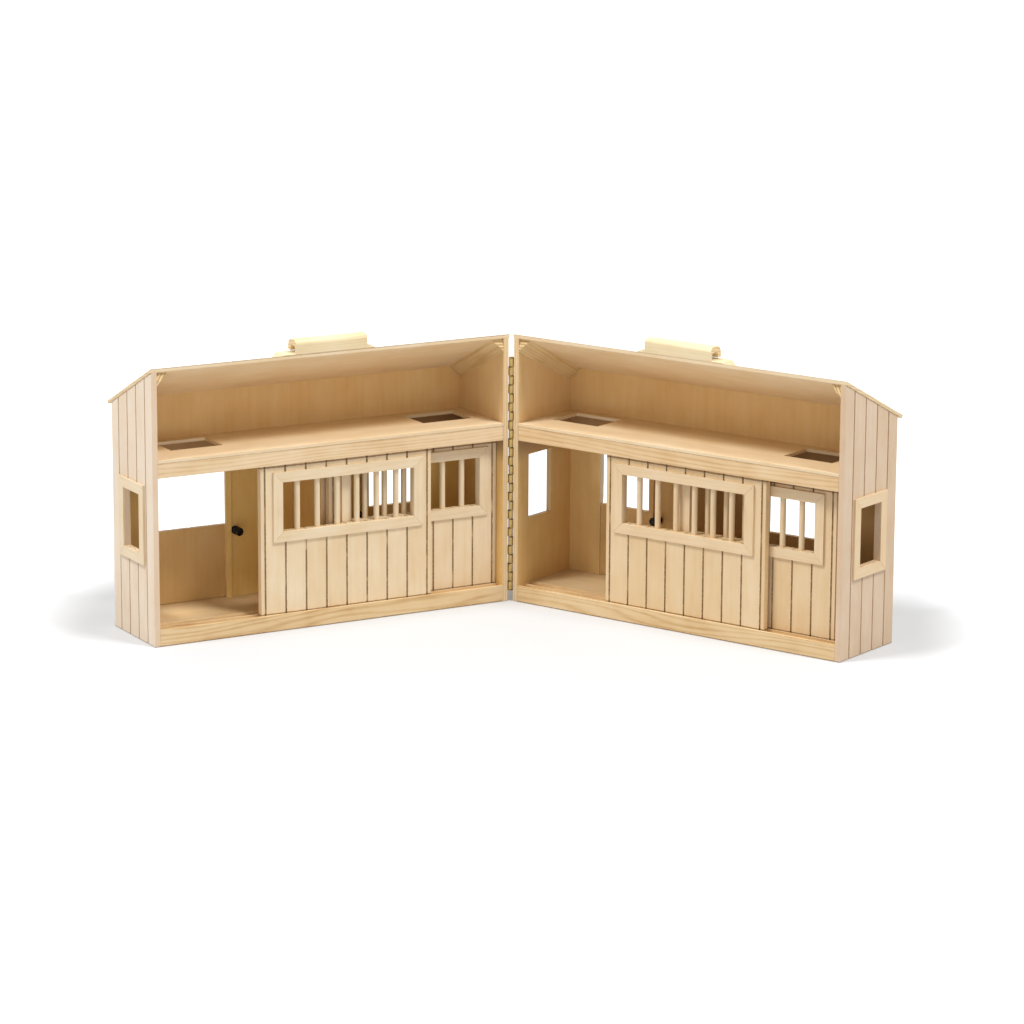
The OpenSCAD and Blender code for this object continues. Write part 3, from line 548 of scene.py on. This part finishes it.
def mitred(bm, p0, p1, q0, q1, w, low, high, to_point, gap=0.04):
    """Four mitred strips round an opening: flat ones in slot 0, upright ones in slot 1."""
    for q, out in ((q1, w), (q0, -w)):
        strip = [(p0 - w + gap, q + out), (p1 + w - gap, q + out), (p1 - gap, q), (p0 + gap, q)]
        prism(bm, strip, low, high, to_point, 0)
    for p, out in ((p0, -w), (p1, w)):
        strip = [(p + out, q0 - w + gap), (p + out, q1 + w - gap), (p, q1 - gap), (p, q0 + gap)]
        prism(bm, strip, low, high, to_point, 1)


def rod(bm, centre, axis, radius, low, high, segments=20, slot=0):
    """A round rod along one of a half's axes."""
    ring = [(math.cos(t), math.sin(t)) for t in (2 * math.pi * i / segments for i in range(segments))]

    def to_point(p, q, level):
        if axis == "z":
            return (centre[0] + p, centre[1] + q, level)
        if axis == "b":
            return (centre[0] + p, level, centre[1] + q)
        return (level, centre[0] + p, centre[1] + q)
    prism(bm, [(radius * x, radius * y) for x, y in ring], low, high, to_point, slot)


def door_windows():
    """The sliding doors' mitred trims and round bars, in place of the frame's plain ones."""
    for key, at in DOOR_AT.items():
        side = SIDES[key.split("_")[0]]
        track = FRONT_TRACK if key.endswith("front") else REAR_TRACK
        bm = bmesh.new()
        a0 = WALL + at + WIN_AT
        a1 = a0 + WIN_L
        mitred(bm, a0, a1, WIN_Z, WIN_Z + WIN_H, TRIM_W, track - TRIM_T, track,
               lambda p, q, level: (p, level, q))
        trim = finish_piece(f"{key}_door_trim", bm, side, f"{key}_door", [PINE[side, "a"], PINE[side, "z"]])
        bm = bmesh.new()
        for i in range(1, BARS + 1):
            at_bar = a0 - BAR_SHIFT + i * (WIN_L + 2 * BAR_SHIFT) / (BARS + 1)
            rod(bm, (at_bar, track + DOOR_T / 2), "z", BAR_D / 2, WIN_Z, WIN_Z + WIN_H)
        bars = finish_piece(f"{key}_door_bars", bm, side, f"{key}_door", [PINE[side, "z"]], bevel=0, smooth=40)
        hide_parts(f"{key}_door_window")
        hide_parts(f"{key}_door_window")


def end_trims():
    """The mitred trims of the outer end walls' windows."""
    for name, side in SIDES.items():
        bm = bmesh.new()
        b0 = (HALF_D - END_WIN_L) / 2
        mitred(bm, b0, b0 + END_WIN_L, END_WIN_LOW, END_WIN_HIGH, TRIM_W, HALF_L, HALF_L + TRIM_T,
               lambda p, q, level: (level, p, q))
        finish_piece(f"{name}_end_trim", bm, side, f"{name}_half", [PINE[side, "b"], PINE[side, "z"]],
                     (f"{name}_end_window_trim",))


def knobs():
    """The black turn knobs: a turned head inside, a spindle through the wall and a blade outside."""
    # radius and distance from the wall, along a turned profile
    profile = [(0.0, 0.0), (3.3, 0.0), (3.7, 0.4), (3.7, 2.7), (3.2, 3.2), (2.3, 3.5), (2.2, 4.4), (2.3, 6.2),
               (3.1, 6.7), (3.7, 7.4), (3.7, 9.7), (3.45, 10.4), (2.7, 10.85), (0.0, 11.0)]
    for key, free in FREE.items():
        name, where = key.split("_")
        side = SIDES[name]
        at = free + (KNOB_OFF if where == "inner" else -KNOB_OFF)
        face = INNER_BACK - KNOB_GAP
        bm = bmesh.new()
        steps = 32
        around = [(math.cos(2 * math.pi * i / steps), math.sin(2 * math.pi * i / steps)) for i in range(steps)]
        rings = []
        for r, d in profile:
            if r == 0:
                rings.append([bm.verts.new((at, face - d, KNOB_Z))])
            else:
                rings.append([bm.verts.new((at + r * c, face - d, KNOB_Z + r * s)) for c, s in around])
        for lo, hi in zip(rings, rings[1:]):
            for i in range(steps):
                j = (i + 1) % steps
                corner = [lo[i % len(lo)], lo[j % len(lo)], hi[j % len(hi)], hi[i % len(hi)]]
                bm.faces.new(list(dict.fromkeys(corner)))
        rod(bm, (at, KNOB_Z), "b", SPINDLE_R, face + 0.05, HALF_D + KNOB_GAP, 20)
        # two half circles, the lower one a blade's length down
        blade = []
        for start, down in ((0.0, 0.0), (math.pi, BLADE_L)):
            for i in range(17):
                t = start + math.pi * i / 16
                blade.append((BLADE_R * math.cos(t), -down + BLADE_R * math.sin(t)))
        prism(bm, blade, HALF_D + BLADE_GAP, HALF_D + BLADE_OUT,
              lambda p, q, level: (at + p, level, KNOB_Z + q))
        finish_piece(f"{key}_knob", bm, side, f"{key}_turn_knob", [BLACK], (f"{key}_turn_knob",),
                     bevel=0.3, smooth=35)


def screw(bm, to_point, radius=1.45, tall=0.28, turn=0.6):
    """A slotted screw head; to_point(p, q, level) sets it on its plate."""
    c, s = math.cos(turn), math.sin(turn)

    def spin(p, q, level):
        return to_point(p * c - q * s, p * s + q * c, level)

    angles = [2 * math.pi * i / 24 for i in range(24)]
    prism(bm, [(radius * math.cos(t), radius * math.sin(t)) for t in angles], 0.0, tall * 0.45, spin)
    # the head's two sides of the slot
    half_slot, top = 0.22, radius * 0.96
    start = math.asin(half_slot / top)
    for sign in (1, -1):
        pts = []
        for i in range(13):
            t = start + (math.pi - 2 * start) * i / 12
            pts.append((top * math.cos(t), sign * top * math.sin(t)))
        prism(bm, pts, tall * 0.4, tall, spin)


def hinge_screws():
    """Screws on both plates of the doorway hinges and on the piano hinge's leaves."""
    for key, pivot in PIVOT.items():
        name, where = key.split("_")
        side = SIDES[name]
        way = 1 if where == "inner" else -1
        opened = math.radians(OPEN[key])
        fixed = bmesh.new()
        for level in ("upper", "lower"):
            middle = (SPLIT_Z + DOOR_TOP) / 2 if level == "upper" else (BASE_H + SPLIT_Z) / 2
            angle = opened if level == "upper" else 0.0
            moving = bmesh.new()
            for dz in (-HINGE_H / 3, HINGE_H / 3):
                x_wall = BARREL_D / 2 - PLATE_T + PLATE_W / 2 + 0.6
                x_leaf = LEAF_FROM + PLATE_W / 2 + 0.6
                y = -PIVOT_OUT + PLATE_T

                def on_wall(p, q, lev):
                    return (pivot - way * (x_wall + p), HALF_D + PIVOT_OUT + y + lev, middle + dz + q)

                def on_leaf(p, q, lev):
                    lx, ly = x_leaf + p, y + lev
                    return (pivot + way * (lx * math.cos(angle) - ly * math.sin(angle)),
                            HALF_D + PIVOT_OUT + lx * math.sin(angle) + ly * math.cos(angle),
                            middle + dz + q)
                screw(fixed, on_wall, turn=0.5 + dz)
                screw(moving, on_leaf, turn=1.1 - dz)
            finish_piece(f"{key}_{level}_leaf_screws", moving, side, f"{key}_{level}_leaf", [BRASS], bevel=0.06)
        finish_piece(f"{key}_wall_screws", fixed, side, f"{name}_half", [BRASS], bevel=0.06)
    for name, side in SIDES.items():
        bm = bmesh.new()
        for i in range(PIANO_SCREWS):
            z = PIANO_SCREW_LOW + i * PIANO_SCREW_STEP
            screw(bm, lambda p, q, lev: (-PIANO_LEAF_T - lev, PIANO_SCREW_IN + p, z + q),
                  radius=1.7, turn=0.4 + i)
        finish_piece(f"{name}_piano_screws", bm, side, f"{name}_half", [BRASS], bevel=0.06)


dress_cad()
door_windows()
end_trims()
knobs()
hinge_screws()

# ---- floor, light and camera ----
# Metres from the middle between which the floor glows whiter for the camera, as painted light that washes out
# the barn's shadow: all round, behind, and to the sides
FAR, BEHIND, ASIDE = (0.7, 2.4), (0.03, 0.32), (0.35, 0.42)
# The two softboxes' distance to each side, and their depth and height
LAMP_X, LAMP_Y, LAMP_Z = 1.6, -1.05, 3.14
bpy.ops.mesh.primitive_plane_add(size=24, location=(0, 0, -0.0002))
floor = bpy.context.object
floor.name = "floor"
g = Graph("floor")
g.nt.nodes.remove(g.bsdf)
diffuse = g.node("BsdfDiffuse")
diffuse.inputs["Color"].default_value = (0.56, 0.575, 0.6, 1)
glow = g.node("Emission")
glow.inputs["Color"].default_value = (1, 1, 1, 1)
# painted light: the floor glows white for the camera far from the barn, well behind it and to its sides, so the
# barn's shadow fades there, and glows less near it, where the shadow stays
place_of = g.node("TexCoord")
flat = g.node("VectorMath", operation="LENGTH")
g.link(place_of.outputs["Object"], flat.inputs[0])
far = g.math("MULTIPLY", g.smooth(flat.outputs["Value"], *FAR), 0.85)
split = g.node("SeparateXYZ")
g.link(place_of.outputs["Object"], split.inputs[0])
behind = g.math("MULTIPLY", g.smooth(split.outputs["Y"], *BEHIND), 0.5)
wide = g.math("ABSOLUTE", split.outputs["X"])
aside = g.math("MULTIPLY", g.smooth(wide, *ASIDE), 0.35)
near = g.math("ADD", aside, 0.14)
whiter = g.math("ADD", g.math("MAXIMUM", far, behind), near)
g.link(g.math("MULTIPLY", seen_rays(g.nt), whiter), glow.inputs["Strength"])
both = g.node("AddShader")
g.link(diffuse.outputs[0], both.inputs[0])
g.link(glow.outputs[0], both.inputs[1])
g.link(both.outputs[0], g.out.inputs[0])
floor.data.materials.append(g.mat)

world = bpy.data.worlds.new("world")
bpy.context.scene.world = world
world.use_nodes = True
wn = world.node_tree
wn.nodes.clear()
wout = wn.nodes.new("ShaderNodeOutputWorld")
soft = wn.nodes.new("ShaderNodeBackground")
soft.inputs["Color"].default_value = (1.0, 0.985, 0.96, 1)
soft.inputs["Strength"].default_value = 0.5
white = wn.nodes.new("ShaderNodeBackground")
white.inputs["Color"].default_value = (1, 1, 1, 1)
white.inputs["Strength"].default_value = 1.0
pick = wn.nodes.new("ShaderNodeMixShader")
wn.links.new(seen_rays(wn), pick.inputs[0])
wn.links.new(soft.outputs[0], pick.inputs[1])
wn.links.new(white.outputs[0], pick.inputs[2])
wn.links.new(pick.outputs[0], wout.inputs[0])


def lamp(name, where, look, size, power, colour):
    """A round softbox that faces the point look."""
    data = bpy.data.lights.new(name, "AREA")
    data.shape = "DISK"
    data.size = size
    data.energy = power
    data.color = colour
    obj = bpy.data.objects.new(name, data)
    bpy.context.scene.collection.objects.link(obj)
    obj.location = where
    obj.rotation_mode = "QUATERNION"
    obj.rotation_quaternion = (Vector(look) - Vector(where)).to_track_quat("-Z", "Y")


for name, side, power in (("left_softbox", LEFT, 82), ("right_softbox", RIGHT, 80)):
    lamp(name, (side * LAMP_X, LAMP_Y, LAMP_Z), (0, 0, 0.1), 1.0, power, (1.0, 0.985, 0.955))

# the camera that was fitted to the photograph: its turn in radians, lens, and place in metres
pitch, yaw, roll = -0.22843, -0.0644, 0.00521
LENS, CAM_X, CAM_TO_HINGE, CAM_Z = 144.188, 0.22681, 3.49856, 0.89513
ahead = Vector((math.sin(yaw) * math.cos(pitch), math.cos(yaw) * math.cos(pitch), math.sin(pitch)))
level = ahead.cross(Vector((0, 0, 1))).normalized()
upward = level.cross(ahead)
side_way = math.cos(roll) * level + math.sin(roll) * upward
up_way = -math.sin(roll) * level + math.cos(roll) * upward
cam_data = bpy.data.cameras.new("camera")
cam_data.sensor_width = 36.0
cam_data.lens = LENS
cam_data.clip_start, cam_data.clip_end = 0.05, 50.0
cam = bpy.data.objects.new("camera", cam_data)
bpy.context.scene.collection.objects.link(cam)
cam.matrix_world = Matrix((
    (side_way.x, up_way.x, -ahead.x, CAM_X),
    (side_way.y, up_way.y, -ahead.y, HINGE_Y - CAM_TO_HINGE),
    (side_way.z, up_way.z, -ahead.z, CAM_Z),
    (0, 0, 0, 1)))
bpy.context.scene.camera = cam
bpy.context.scene.view_settings.view_transform = "Standard"
